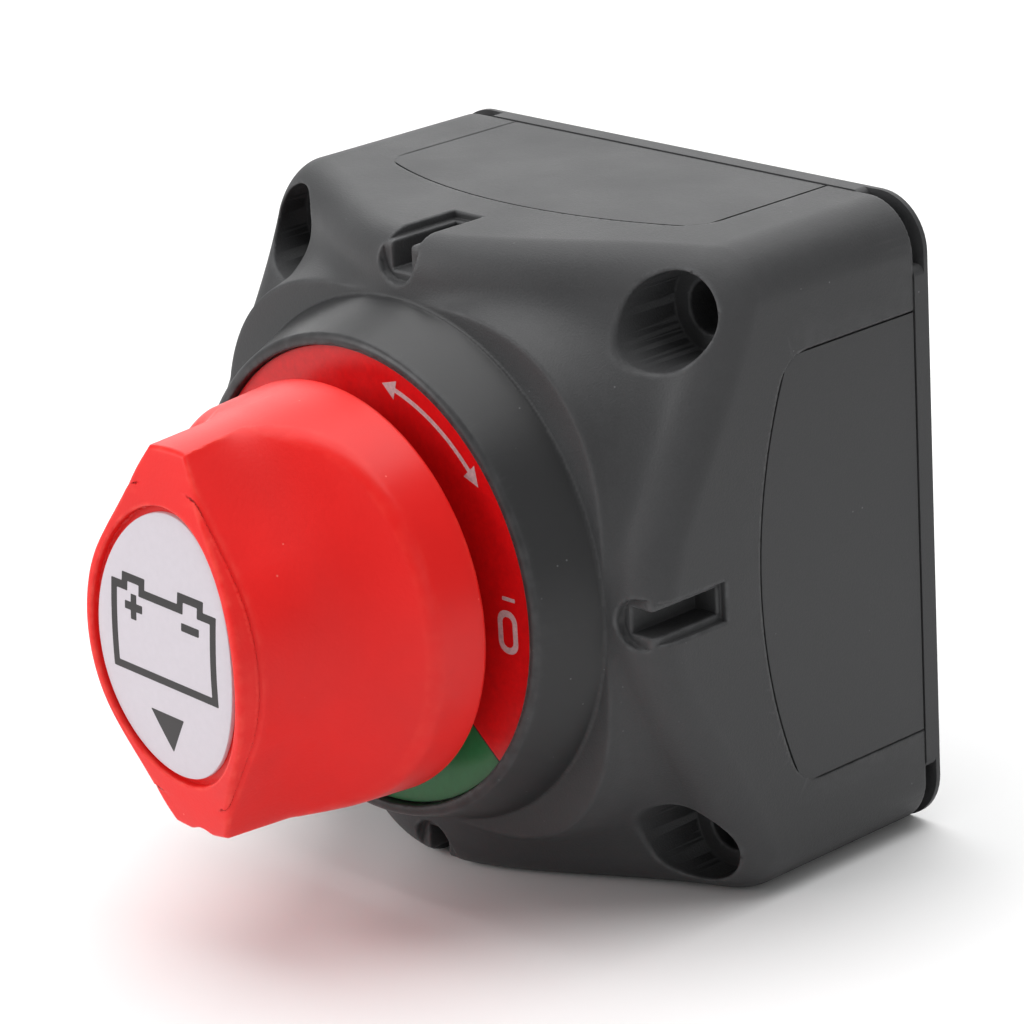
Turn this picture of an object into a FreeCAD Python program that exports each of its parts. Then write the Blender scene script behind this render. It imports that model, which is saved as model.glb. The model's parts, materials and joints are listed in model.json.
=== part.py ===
"""Panel-mounted battery isolator switch: square case, turning knob, two-stud contact set.

Frame, in millimetres: the origin is the centre of the rear mounting face, the knob points along -Y,
+X is to the right and +Z is up when the switch is seen from the front. The contacts are closed (ON).
"""
import FreeCAD, Part
import math
import os

V = FreeCAD.Vector
Y_AXIS = V(0, 1, 0)

# ---- case ----
CASE_HALF = 34.5            # half of the rear cover's width
CASE_INSET = 0.08           # the case sits this far inside the cover's edge
CASE_CORNER = 5.8           # plan radius of the case corners
CASE_REAR = -2.1            # rear edge of the moulded case
SHOULDER_Y = -41.9          # where the collar meets the front of the case
COLLAR_FOOT_R = 28.0
COLLAR_RIM_R = 25.5
COLLAR_TOP = -49.0
DIAL_SEAT = -47.8           # floor inside the collar
DIAL_R = 24.4
CORNER_Y = -31.1            # front surface at the fixing holes
CORNER_SLOPE = 0.44         # fall of the corner pads towards the outer corners
CREST = 4.4                 # width of the level ledge round the collar's foot towards the corners
CREST_ROUND = 0.8
SWEEP_LENGTH = 3.4          # how quickly the ledge sweeps down into the pads
FRONT_STEPS = (0.8, 0.65, 0.54, 0.46, 0.4, 0.35, 0.31, 0.27, 0.22, 0.12, 0)
EDGE_RADIUS = 4.0           # rounding between the front and the sides
CONTOUR_POINTS = 72
LEDGE = 0.06                # step left where two turned surfaces meet

# ---- fixing holes and key slots ----
HOLE_SPACING = 55.6
HOLE_R = 2.77
COUNTERBORE_R = 4.76
COUNTERBORE_FLOOR = -25.1
COLUMN_R = 7.0
KEY_HOLE_R = 2.65
KEY_HOLE_OFFSET = 32.1
KEY_HOLE_FLOOR = -40.7
KEY_RECESS = (2.1, 1.0, -31.2)      # half width, depth, rear end
KEY_SLOT = (1.4, 4.0, -31.65)

# ---- side panels ----
PANEL_HALF = 22.85
PANEL_REAR = -2.3
PANEL_SIDE_FRONT = -21.0
PANEL_MID_FRONT = -26.0
PANEL_CORNER = 2.5
PANEL_GAP = 0.15
PANEL_FACE = 34.4
PANEL_INNER = 32.2
PANEL_FLANGE_INNER = 31.2
PANEL_FLANGE = 1.2

# ---- chamber and terminal bay ----
WALL_INNER = -45.3
CHAMBER_R = 24.0
BASE_FRONT = -23.8
BASE_REAR = -19.8
BASE_R = 30.0
GASKET_R = 25.3
GASKET_THICK = 0.8
GASKET_PLAY = 0.1
BAY_HALF = 30.5
BAY_CORNER = 3.0
SHAFT_BORE_R = 8.0
GUIDE_HALF = 3.2            # half width of the groove that keys the contact carrier
GUIDE_WALL = 2.0
GUIDE_INNER = 18.5
GUIDE_END = BASE_FRONT - 4
COVER_PLATE = 0.6
LIP_HALF = 27.5             # the rear cover's lips run along the straight sides
LIP_CORNER = 1.0
COVER_BOSS_R = 4.6
COVER_POCKET = (5.0, 8.0, 1.5)      # half width, half height, corner radius
POCKET_DEPTH = 0.7
POCKET_OFFSET = 21.0
PEG = (22.8, 29.0)
PEG_R = 1.5
PEG_END = -8.0
PEG_PLAY = 0.05
BLIND_END = 0.5             # room left past the end of a peg or screw
REACH = 1.0                 # cutters run this far past what they cut
SUNK = 0.5                  # joined solids run this far into each other

# ---- knob ----
KNOB_REAR = -52.0
KNOB_REAR_R = 21.8
KNOB_SHOULDER = -58.5
KNOB_TAPER = 0.075          # loss of radius per millimetre of length
KNOB_RIDGE = -73.6
KNOB_FACE = -75.6
LEAST_SCOOP = 0.02
KNOB_CROWDING = 0.7
SCOOP_STEPS = (0, 0.06, 0.13, 0.21, 0.3, 0.4, 0.52, 0.66, 0.82, 1.0)
GRIP_HALF_WIDTH = (2.8, 3.9)    # upper end and pointer end
GRIP_BELLY = (12.6, 15.2)   # semi-axes of the swelling round the label
KNOB_REST_ANGLE = -1.0      # the knob settles this far past the pointer line
DOME_R = 70.0               # the front is bowed along the grip
DOME_SAG = 7.0              # more than the bow's own depth
SCOOP_POWER = 3             # how sharply the scoops turn out to the shoulder
SCOOP_RISE = 9.0            # how far the shoulder runs forward beside the grip's ends
POINTER_NOTCH = (2.4, 0.45, -69.0)  # radius, depth, rear end of the notch in the pointer end
LABEL_AXES = (10.15, 13.97)
LABEL_FACE = -75.2
LABEL_THICK = 0.5
LABEL_ANGLE = 3.0           # the label is stuck on slightly askew
BOSS_WIDTH = 1.5            # from the label to the outside of the rim
LABEL_PLAY = 0.6
HUB_R = 9.5
HUB_REAR = -48.8
HOLLOW_R = 18.6
HOLLOW_FLOOR = -57.5
GRIP_HOLLOW_R = 13.6
GRIP_HOLLOW_FLOOR = -62.0
SHAFT_SQUARE = 8.0
SHAFT_PLAY = 0.05
SHAFT_END = -66.0
SOCKET_END = -66.3
SCREW_SEAT = -70.2
SCREW_HEAD_R = 3.6
SCREW_HOLE_R = 2.2
HEAD_HOLE_R = 4.2
SCREW_BORE_R = 2.02
SCREW_BORE_END = -56.0
SCREW_HEAD = 2.4
SCREW_R = 2.0
SCREW_END = -58.0
CROSS = (0.5, 2.4, 1.0)     # half width, half length and depth of the screw's cross recess

# ---- rotor and cam ----
TRAVEL = 2.4                # contact opening for a quarter turn
RAMP_PER_DEG = TRAVEL / 90.0
FLANGE = (-44.6, -42.4)
FLANGE_R = 17.0
JOURNAL_R = 7.95
JOURNAL_FRONT = -48.6
SEAL_GROOVE = (6.55, -47.4, -45.8)
SEAL_R = 7.25
SEAL_CORD_R = 0.7
SEAL_Y = -46.6
DETENT_R = 13.5
DETENT_BAND = 2.0
DETENT_STRIP = 0.35
DIMPLE_R = 1.2
DIMPLE_SUNK = 0.1
PIT_R = 1.25
PIT_DEPTH = 0.6
RAMP_LOW = -42.1
RAMP_SPAN = 112.0
RAMP_START = -20.0
RAMP_R = (9.5, 14.5)
FOLLOWER_START = 95.0       # degrees past the start of the ramp
FOLLOWER_SPAN = 14.0
FOLLOWER_R = (10.0, 14.0)
CAM_GAP = 0.05
CARRIER = (-36.3, -34.3)
CARRIER_R = 16.0
CARRIER_PLAY = 0.2
CAGE_HALF = 11.0            # the carrier's cage holds the bridge bar between two walls
CAGE_WALL = (6.3, 8.2)
PILOT_R = 4.0
PILOT_PLAY = 0.1
PILOT_END = -35.5

# ---- terminals ----
STUD_X = 14.0
STUD_R = 5.0                # free end that takes the cable lug
STUD_SHANK_R = 4.8
STUD_SHANK_END = -8.6
STUD_END = -3.0
STUD_CHAMFER = 0.8
STUD_HEAD_R = 8.0
STUD_KEY = (6.0, 5.5, 2.0)  # half width, half height and depth of the block that stops it turning
STUD_PLAY = 0.05
BRIDGE = (-31.4, -28.4)
BRIDGE_HALF = (20.5, 6.0)
BRIDGE_CORNER = 2.0
PAD = 0.8
PAD_R = 5.5
COLLAR_RING = (12.5, 11.2, 1.2)     # raised ring of the base round each stud
BARRIER = (1.2, 24.8, -2.6)         # half thickness, half height, rear edge
BARRIER_GROOVE = 1.5
BARRIER_PLAY = 0.1
WASHER = (10.0, 2.0)                # radius, thickness
LOCK_WASHER = (8.6, 2.5)
LOCK_SPLIT = (0.5, 3.0, 12.0)
NUT_ACROSS = 16.0
NUT_HEIGHT = 6.5
NUT_PLAY = 0.07
SCREW_CIRCLE_R = 27.0
BASE_SCREW = (1.45, 2.6, 1.8)       # shank radius, head radius, head height
BASE_SCREW_BORE_R = 1.5
BASE_SCREW_HOLE_R = 1.6
BASE_SCREW_END = -35.5
BASE_CROSS = (0.4, 1.8, 0.8)
CONTACT_SPRING = (3.0, 0.8, 2.5, 7.5)       # coil radius, wire, turns, distance from the axis
RETURN_SPRING = (3.2, 0.9, 6.0, 13.5)


# ---- basic solids, all with their axis along Y ----
def cyl(r, y0, y1, x=0.0, z=0.0):
    low = min(y0, y1)
    return Part.makeCylinder(r, abs(y1 - y0), V(x, low, z), Y_AXIS)


def ring(r_out, r_in, y0, y1, x=0.0, z=0.0):
    return cyl(r_out, y0, y1, x, z).cut(cyl(r_in, min(y0, y1) - 1, max(y0, y1) + 1, x, z))


def cone(r0, y0, r1, y1):
    return Part.makeCone(r0, r1, abs(y1 - y0), V(0, y0, 0), V(0, math.copysign(1, y1 - y0), 0))


def box(x0, x1, y0, y1, z0, z1):
    return Part.makeBox(x1 - x0, y1 - y0, z1 - z0, V(x0, y0, z0))


def rounded_block(half_x, half_z, radius, y0, y1):
    block = box(-half_x, half_x, y0, y1, -half_z, half_z)
    uprights = [e for e in block.Edges if abs(e.Vertexes[0].Y - e.Vertexes[1].Y) > 0.1]
    return block.makeFillet(radius, uprights)


def fuse(shapes):
    whole = shapes[0]
    for shape in shapes[1:]:
        whole = whole.fuse(shape)
    return whole.removeSplitter()


def outward(solid):
    """The solid with its faces pointing outwards."""
    return solid.reversed() if solid.Volume < 0 else solid


def turned(shape, degrees):
    """The shape turned about the knob's axis, anticlockwise as seen from the front."""
    copy = shape.copy()
    copy.rotate(V(0, 0, 0), V(0, -1, 0), degrees)
    return copy


def four_times(shape):
    return [turned(shape, 90 * k) for k in range(4)]


def coil(radius, wire, y0, y1, turns, x, z):
    """A compression spring standing along Y between y0 and y1."""
    height = y1 - y0 - wire
    helix = Part.makeHelix(height / turns, height, radius)
    start = Part.Wire(Part.makeCircle(wire / 2, V(radius, 0, 0), V(0, 1, 0)))
    spring = Part.Wire(helix.Edges).makePipeShell([start], True, True)
    spring.rotate(V(0, 0, 0), V(1, 0, 0), -90)
    spring.translate(V(x, y0 + wire / 2, z))
    return spring


# ---- the sculpted front of the case ----
def outline_radius(angle, inset):
    """Distance from the axis to the case's rounded square, drawn in by inset, in one direction."""
    half = CASE_HALF - CASE_INSET - inset
    corner = max(CASE_CORNER - inset, 1.2)
    c = abs(math.cos(angle))
    s = abs(math.sin(angle))
    reach = half / max(c, s)
    centre = half - corner
    if reach * min(c, s) > centre:
        along = centre * (c + s)
        reach = along + math.sqrt(along * along - 2 * centre * centre + corner * corner)
    return reach


def front_height(r, angle):
    """Y of the front surface: level at the mid-sides, swept down to the four corner pads."""
    if r <= COLLAR_FOOT_R:
        return SHOULDER_Y
    corner_share = (1 - math.cos(4 * angle)) / 2

    def pad(radius):
        low = CORNER_Y + CORNER_SLOPE * (radius - HOLE_SPACING / math.sqrt(2))
        return SHOULDER_Y * (1 - corner_share) + low * corner_share

    edge = COLLAR_FOOT_R + CREST * corner_share
    sweep = pad(r) - (pad(edge) - SHOULDER_Y) * math.exp(-(r - edge) / SWEEP_LENGTH)
    blend = math.hypot(SHOULDER_Y - sweep, CREST_ROUND * corner_share)
    return (SHOULDER_Y + sweep + blend) / 2


def contour_angles():
    """Directions round the case, closer together at the corners."""
    for k in range(CONTOUR_POINTS):
        u = 2 * math.pi * k / CONTOUR_POINTS
        yield u + 0.75 * math.sin(4 * u) / 4


def closed_curve(points):
    curve = Part.BSplineCurve()
    curve.interpolate(Points=points, PeriodicFlag=True)
    return Part.Wire(curve.toShape())


def side_ring(y):
    return closed_curve([polar(outline_radius(a, 0), y, a) for a in contour_angles()])


def polar(r, y, angle):
    return V(r * math.cos(angle), y, r * math.sin(angle))


def edge_ring(turn):
    """A ring on the rounded edge; turn runs from 0 at the side wall to 90 degrees at the front."""
    sink = EDGE_RADIUS * (1 - math.sin(math.radians(turn)))
    inset = EDGE_RADIUS * (1 - math.cos(math.radians(turn)))
    points = []
    for a in contour_angles():
        crest = front_height(outline_radius(a, EDGE_RADIUS), a)
        points.append(polar(outline_radius(a, inset), crest + sink, a))
    return closed_curve(points)


def front_ring(share):
    """A ring on the front, share of the way from the collar's foot to the rounded edge."""
    points = []
    for a in contour_angles():
        outer = outline_radius(a, EDGE_RADIUS)
        r = COLLAR_FOOT_R + share * (outer - COLLAR_FOOT_R)
        points.append(polar(r, front_height(r, a), a))
    return closed_curve(points)


def case_body():
    rings = [side_ring(CASE_REAR)]
    rings += [edge_ring(turn) for turn in (0, 22.5, 45, 67.5, 90)]
    rings += [front_ring(share) for share in FRONT_STEPS]
    body = outward(Part.makeLoft(rings, True, True))
    foot = COLLAR_FOOT_R - LEDGE
    collar = cyl(foot, SHOULDER_Y, SHOULDER_Y + 3)
    collar = collar.fuse(cone(foot, SHOULDER_Y, COLLAR_RIM_R, COLLAR_TOP))
    return body.fuse(collar.removeSplitter())


# ---- case and its covers ----
def panel_prism(grow, x0, x1):
    """The side panel's outline on the +X side, grown outwards by grow, between two X planes."""
    half = PANEL_HALF + grow
    side = PANEL_SIDE_FRONT - grow
    mid = PANEL_MID_FRONT - grow
    corners = [V(x0, PANEL_REAR, -half), V(x0, side, -half), V(x0, side, half), V(x0, PANEL_REAR, half)]
    edges = [Part.makeLine(corners[3], corners[0]), Part.makeLine(corners[0], corners[1])]
    edges.append(Part.Arc(corners[1], V(x0, mid, 0), corners[2]).toShape())
    edges.append(Part.makeLine(corners[2], corners[3]))
    prism = Part.Face(Part.Wire(edges)).extrude(V(x1 - x0, 0, 0))
    front_corners = [e for e in prism.Edges if e.Vertexes[0].Y < side + 0.1 and e.Length < x1 - x0 + 0.01]
    return prism.makeFillet(PANEL_CORNER + grow, front_corners)


def side_panel():
    plate = panel_prism(0, PANEL_INNER, PANEL_FACE)
    flange = panel_prism(PANEL_FLANGE, PANEL_FLANGE_INNER, PANEL_INNER)
    return fuse([plate, flange])


def panel_window():
    plate = panel_prism(PANEL_GAP, PANEL_INNER, PANEL_FACE + 3)
    flange = panel_prism(PANEL_FLANGE + PANEL_GAP, PANEL_FLANGE_INNER - 0.05, PANEL_INNER + 0.05)
    mouth = box(PANEL_FLANGE_INNER - 0.05, PANEL_FACE + 3, PANEL_REAR - 0.1, 1, -PANEL_HALF, PANEL_HALF)
    cable_way = box(BAY_HALF - 1, PANEL_INNER, BASE_REAR - 1, 1, -PANEL_HALF + 3, PANEL_HALF - 3)
    return fuse([plate, flange, mouth, cable_way])


def key_slot():
    """Keyhole on the +X side that joins two switches side by side."""
    half, depth, rear = KEY_RECESS
    slot = box(CASE_HALF - depth, CASE_HALF + 2, COLLAR_TOP, rear, -half, half)
    half, depth, rear = KEY_SLOT
    deep = box(CASE_HALF - depth, CASE_HALF + 2, COLLAR_TOP, rear, -half, half)
    return fuse([cyl(KEY_HOLE_R, COLLAR_TOP, KEY_HOLE_FLOOR, KEY_HOLE_OFFSET), slot, deep])


def hole_positions():
    half = HOLE_SPACING / 2
    return [(half, half), (-half, half), (-half, -half), (half, -half)]


def peg_positions():
    """One locating peg of the rear cover beside each fixing column."""
    x, z = PEG
    return [(x, z), (-x, z), (-x, -z), (x, -z)]


def diagonal_positions(radius):
    reach = radius / math.sqrt(2)
    return [(reach, reach), (-reach, reach), (-reach, -reach), (reach, -reach)]


def housing():
    body = case_body()
    bay = rounded_block(BAY_HALF, BAY_HALF, BAY_CORNER, BASE_FRONT, REACH)
    for x, z in hole_positions():
        bay = bay.cut(cyl(COLUMN_R, BASE_FRONT - REACH, 2 * REACH, x, z))
    chamber = cyl(CHAMBER_R, WALL_INNER, BASE_FRONT + REACH)
    for z in (-1, 1):
        for x in (-1, 1):
            near, far = sorted((x * GUIDE_HALF, x * (GUIDE_HALF + GUIDE_WALL)))
            low, high = sorted((z * GUIDE_INNER, z * (CHAMBER_R + REACH)))
            chamber = chamber.cut(box(near, far, WALL_INNER - REACH, GUIDE_END, low, high))
    cuts = [bay, chamber]
    cuts.append(cyl(DIAL_R, COLLAR_TOP - REACH, DIAL_SEAT))
    cuts.append(cyl(SHAFT_BORE_R, DIAL_SEAT - REACH, WALL_INNER + REACH))
    cuts.append(cyl(GASKET_R + GASKET_PLAY, BASE_FRONT - GASKET_THICK, BASE_FRONT))
    for x, z in hole_positions():
        cuts.append(cyl(COUNTERBORE_R, COLLAR_TOP, COUNTERBORE_FLOOR, x, z))
        cuts.append(cyl(HOLE_R, COUNTERBORE_FLOOR - REACH, REACH, x, z))
    for x, z in peg_positions():
        cuts.append(cyl(PEG_R + PEG_PLAY, PEG_END - BLIND_END, 0, x, z))
    for x, z in diagonal_positions(SCREW_CIRCLE_R):
        cuts.append(cyl(BASE_SCREW_BORE_R, BASE_SCREW_END - BLIND_END, BASE_FRONT + REACH, x, z))
    cuts += four_times(panel_window())
    cuts += four_times(key_slot())
    cuts += four_times(cyl(PIT_R, WALL_INNER - PIT_DEPTH, WALL_INNER, DETENT_R))
    return body.cut(cuts)


def rear_cover():
    cover = rounded_block(CASE_HALF, CASE_HALF, CASE_CORNER, -COVER_PLATE, 0)
    within = -COVER_PLATE / 2
    cover = cover.fuse(rounded_block(CASE_HALF, LIP_HALF, LIP_CORNER, CASE_REAR, within))
    cover = cover.fuse(rounded_block(LIP_HALF, CASE_HALF, LIP_CORNER, CASE_REAR, within))
    for x, z in hole_positions():
        cover = cover.fuse(cyl(COVER_BOSS_R, CASE_REAR, within, x, z))
    for x, z in peg_positions():
        cover = cover.fuse(cyl(PEG_R, PEG_END, -COVER_PLATE, x, z))
    for x, z in hole_positions():
        cover = cover.cut(cyl(HOLE_R, CASE_REAR - REACH, REACH, x, z))
    half_x, half_z, corner = COVER_POCKET
    pocket = rounded_block(half_x, half_z, corner, -POCKET_DEPTH, REACH)
    pocket.translate(V(POCKET_OFFSET, 0, 0))
    return cover.cut(four_times(pocket)).removeSplitter()


def dial_label():
    return ring(DIAL_R - 0.1, 10.5, DIAL_SEAT, DIAL_SEAT - 0.3)


# ---- knob ----
def cone_radius(y):
    return KNOB_REAR_R - KNOB_TAPER * (KNOB_REAR - y)


def grip_radius(angle):
    """Front outline of the grip: the hull of the belly round the label and the two narrow ends."""
    a, b = GRIP_BELLY
    c = abs(math.cos(angle))
    s = abs(math.sin(angle))
    end = cone_radius(KNOB_RIDGE)
    tip_x = GRIP_HALF_WIDTH[0] if math.sin(angle) > 0 else GRIP_HALF_WIDTH[1]
    tip_z = math.sqrt(end * end - tip_x * tip_x)
    # tangent from the corner of the end to the belly, in the plane scaled to a unit circle
    u = tip_x / a
    w = tip_z / b
    reach = math.hypot(u, w)
    touch = math.atan2(w, u) - math.acos(1 / reach)
    tx = a * math.cos(touch)
    tz = b * math.sin(touch)
    belly = 1 / math.hypot(c / a, s / b)
    if belly * s < tz and belly * c > tx:
        return belly
    if s * tip_x < c * tip_z:
        dx = tip_x - tx
        dz = tip_z - tz
        return (tx * dz - tz * dx) / (c * dz - s * dx)
    return end


def scoop_depth(y, angle):
    """0 where the knob keeps its full cone and 1 where it has the grip's own outline."""
    shoulder = KNOB_SHOULDER - SCOOP_RISE * (1 - abs(math.cos(angle))) ** SCOOP_POWER
    share = max(0, (shoulder - y) / (shoulder - KNOB_RIDGE))
    return LEAST_SCOOP + (1 - LEAST_SCOOP) * (1 - (1 - share) ** SCOOP_POWER)


def knob_angles():
    """Directions round the knob, closer together at the grip's ends."""
    for k in range(CONTOUR_POINTS):
        u = 2 * math.pi * k / CONTOUR_POINTS
        yield u + KNOB_CROWDING * math.sin(2 * u) / 2


def knob_ring(y):
    points = []
    for a in knob_angles():
        full = cone_radius(y) - LEDGE
        r = full + scoop_depth(y, a) * (min(grip_radius(a), full) - full)
        points.append(polar(r, y, a))
    return closed_curve(points)


def dome(depth):
    """Everything behind the bowed front, drawn in by depth."""
    return Part.makeCylinder(DOME_R - depth, 2 * DOME_R, V(-DOME_R, KNOB_FACE + DOME_R, 0), V(1, 0, 0))


def boss_ring():
    points = []
    for a in knob_angles():
        across = math.cos(a) / (LABEL_AXES[0] + BOSS_WIDTH)
        along = math.sin(a) / (LABEL_AXES[1] + BOSS_WIDTH)
        points.append(polar(1 / math.hypot(across, along), KNOB_FACE, a))
    return closed_curve(points)


def knob_solid():
    """Tapered skirt, grip scooped out of it on both sides, and the crown round the label."""
    skirt = cone(KNOB_REAR_R, KNOB_REAR, cone_radius(KNOB_SHOULDER), KNOB_SHOULDER)
    length = KNOB_SHOULDER - KNOB_RIDGE
    sections = [knob_ring(KNOB_SHOULDER + 2)]
    for share in SCOOP_STEPS:
        sections.append(knob_ring(KNOB_SHOULDER - share * length))
    grip = outward(Part.makeLoft(sections, True, True))
    crown = outward(Part.makeLoft([sections[-1], boss_ring()], True, True))
    return skirt.fuse([grip, crown]).common(dome(0))


def oval_disc(grow, y0, y1):
    a, b = LABEL_AXES
    disc = Part.Face(Part.Wire(Part.Ellipse(V(0, 0, 0), b + grow, a + grow).toShape()))
    disc.rotate(V(0, 0, 0), V(0, 0, 1), 90)
    disc.rotate(V(0, 0, 0), V(1, 0, 0), 90)
    disc.translate(V(0, y0, 0))
    return disc.extrude(V(0, y1 - y0, 0))


def knob():
    half = SHAFT_SQUARE / 2 + SHAFT_PLAY
    hollow = ring(HOLLOW_R, HUB_R, KNOB_REAR + REACH, HOLLOW_FLOOR)
    grip_hollow = ring(GRIP_HOLLOW_R, HUB_R, HOLLOW_FLOOR + REACH, GRIP_HOLLOW_FLOOR)
    socket = box(-half, half, SOCKET_END, HUB_REAR + REACH, -half, half)
    floor = LABEL_FACE + LABEL_THICK - KNOB_FACE
    recess = oval_disc(LABEL_PLAY, KNOB_FACE + DOME_SAG, KNOB_FACE - REACH).cut(dome(floor))
    radius, depth, rear = POINTER_NOTCH
    notch = cyl(radius, KNOB_FACE - REACH, rear, 0, depth - radius - cone_radius(KNOB_RIDGE))
    screw_hole = cyl(SCREW_HOLE_R, SCREW_SEAT, SOCKET_END)
    head_hole = cyl(HEAD_HOLE_R, KNOB_FACE, SCREW_SEAT)
    body = knob_solid().cut([hollow, grip_hollow])
    body = body.fuse(cyl(HUB_R, HUB_REAR, HOLLOW_FLOOR - REACH))
    body = body.cut([socket, recess, screw_hole, head_hole, notch])
    return turned(body.removeSplitter(), -KNOB_REST_ANGLE)


def knob_label():
    """Oval foil that follows the bowed floor of its recess."""
    front = LABEL_FACE - KNOB_FACE
    disc = turned(oval_disc(0, KNOB_FACE, KNOB_FACE + DOME_SAG), KNOB_REST_ANGLE - LABEL_ANGLE)
    return turned(disc.common(dome(front)).cut(dome(front + LABEL_THICK)), -KNOB_REST_ANGLE)


def knob_screw():
    top = SCREW_SEAT - SCREW_HEAD
    half, reach, depth = CROSS
    head = cyl(SCREW_HEAD_R, top, SCREW_SEAT)
    head = head.cut(box(-half, half, top - REACH, top + depth, -reach, reach))
    head = head.cut(box(-reach, reach, top - REACH, top + depth, -half, half))
    return head.fuse(cyl(SCREW_R, SCREW_SEAT, SCREW_END))


# ---- rotor, seal and click spring ----
def helical_block(start, span, r_in, r_out, flat_y, ramp_y):
    """A ring sector with one flat end and one helical end; ramp_y gives the helix at start."""
    sections = []
    steps = 8
    for k in range(steps + 1):
        degrees = start + span * k / steps
        a = math.radians(degrees)
        ramp = ramp_y + RAMP_PER_DEG * (degrees - start)
        corners = [polar(r_in, flat_y, a), polar(r_out, flat_y, a), polar(r_out, ramp, a), polar(r_in, ramp, a)]
        sections.append(Part.makePolygon(corners + [corners[0]]))
    return outward(Part.makeLoft(sections, True, False))


def rotor():
    half = SHAFT_SQUARE / 2
    groove_r, groove_front, groove_rear = SEAL_GROOVE
    body = cyl(JOURNAL_R, JOURNAL_FRONT, FLANGE[0])
    body = body.fuse(turned(box(-half, half, SHAFT_END, JOURNAL_FRONT, -half, half), -KNOB_REST_ANGLE))
    body = body.fuse(cyl(FLANGE_R, *FLANGE))
    body = body.fuse(cyl(PILOT_R, FLANGE[1], PILOT_END))
    for start in (RAMP_START, RAMP_START + 180):
        body = body.fuse(helical_block(start, RAMP_SPAN, *RAMP_R, FLANGE[1] - SUNK, RAMP_LOW))
    body = body.cut(ring(JOURNAL_R + REACH, groove_r, groove_front, groove_rear))
    return body.cut(cyl(SCREW_BORE_R, SHAFT_END - REACH, SCREW_BORE_END))


def shaft_seal():
    return Part.makeTorus(SEAL_R, SEAL_CORD_R, V(0, SEAL_Y, 0), Y_AXIS)


def detent_spring():
    """Spring washer whose raised dimples click into the pits of the case wall."""
    strip = FLANGE[0] - DETENT_STRIP
    washer = ring(DETENT_R + DETENT_BAND, DETENT_R - DETENT_BAND, strip, FLANGE[0])
    dimple = Part.makeSphere(DIMPLE_R, V(DETENT_R, FLANGE[0] + DIMPLE_SUNK, 0))
    dimple = dimple.common(cyl(DETENT_BAND, WALL_INNER - PIT_DEPTH, strip + DIMPLE_SUNK, DETENT_R))
    return fuse([washer, dimple, turned(dimple, 180)])


# ---- moving contact set ----
def contact_carrier():
    key = GUIDE_HALF - CARRIER_PLAY
    end = CHAMBER_R - 3 * CARRIER_PLAY
    body = cyl(CARRIER_R, *CARRIER)
    body = body.fuse(box(-key, key, *CARRIER, -end, end))
    for z in (-1, 1):
        low, high = sorted((z * CAGE_WALL[0], z * CAGE_WALL[1]))
        body = body.fuse(box(-CAGE_HALF, CAGE_HALF, CARRIER[1], BRIDGE[1] - SUNK, low, high))
    ramp = RAMP_LOW + RAMP_PER_DEG * FOLLOWER_START + CAM_GAP
    for start in (RAMP_START, RAMP_START + 180):
        at = start + FOLLOWER_START
        body = body.fuse(helical_block(at, FOLLOWER_SPAN, *FOLLOWER_R, CARRIER[0] + SUNK, ramp))
    return body.cut(cyl(PILOT_R + PILOT_PLAY, CARRIER[0] - REACH, CARRIER[1] + REACH))


def bridge_bar():
    return rounded_block(*BRIDGE_HALF, BRIDGE_CORNER, *BRIDGE)


def contact_pads(y0):
    return Part.makeCompound([cyl(PAD_R, y0, y0 + PAD, x) for x in (-STUD_X, STUD_X)])


def contact_springs():
    radius, wire, turns, offset = CONTACT_SPRING
    return Part.makeCompound([coil(radius, wire, CARRIER[1], BRIDGE[0], turns, x, 0) for x in (-offset, offset)])


def return_springs():
    radius, wire, turns, offset = RETURN_SPRING
    return Part.makeCompound([coil(radius, wire, CARRIER[1], BASE_FRONT, turns, 0, z) for z in (-offset, offset)])


# ---- fixed contacts and terminals ----
def terminal_stud(x):
    head_front = BRIDGE[1] + 2 * PAD
    half_x, half_z, depth = STUD_KEY
    thread = cyl(STUD_R, STUD_SHANK_END, STUD_END, x)
    tip = [e for e in thread.Edges if e.BoundBox.YMin > STUD_END - 0.01]
    thread = thread.makeChamfer(STUD_CHAMFER, tip)
    shank = cyl(STUD_SHANK_R, BASE_FRONT, STUD_SHANK_END, x)
    head = cyl(STUD_HEAD_R, head_front, BASE_FRONT, x)
    key = box(x - half_x, x + half_x, BASE_FRONT, BASE_FRONT + depth, -half_z, half_z)
    return fuse([head, shank, thread, key])


def contact_base():
    half_x, half_z, depth = STUD_KEY
    ring_out, ring_in, ring_height = COLLAR_RING
    plate = cyl(BASE_R, BASE_FRONT, BASE_REAR)
    for x in (-STUD_X, STUD_X):
        west = x - half_x - STUD_PLAY
        east = x + half_x + STUD_PLAY
        high = half_z + STUD_PLAY
        plate = plate.cut(cyl(STUD_R + STUD_PLAY, BASE_FRONT - REACH, BASE_REAR + REACH, x))
        plate = plate.cut(box(west, east, BASE_FRONT - REACH, BASE_FRONT + depth, -high, high))
        plate = plate.fuse(ring(ring_out, ring_in, BASE_REAR, BASE_REAR + ring_height, x))
    half, height = (size + BARRIER_PLAY for size in BARRIER[:2])
    plate = plate.cut(box(-half, half, BASE_REAR - BARRIER_GROOVE, BASE_REAR + REACH, -height, height))
    for x, z in diagonal_positions(SCREW_CIRCLE_R):
        plate = plate.cut(cyl(BASE_SCREW_HOLE_R, BASE_FRONT - REACH, BASE_REAR + REACH, x, z))
    return plate


def terminal_barrier():
    """Insulating wall between the two terminals, set in a groove of the base."""
    half, height, rear = BARRIER
    return box(-half, half, BASE_REAR - BARRIER_GROOVE, rear, -height, height)


def base_gasket():
    return ring(GASKET_R, CHAMBER_R + GASKET_PLAY, BASE_FRONT - GASKET_THICK, BASE_FRONT)


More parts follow.
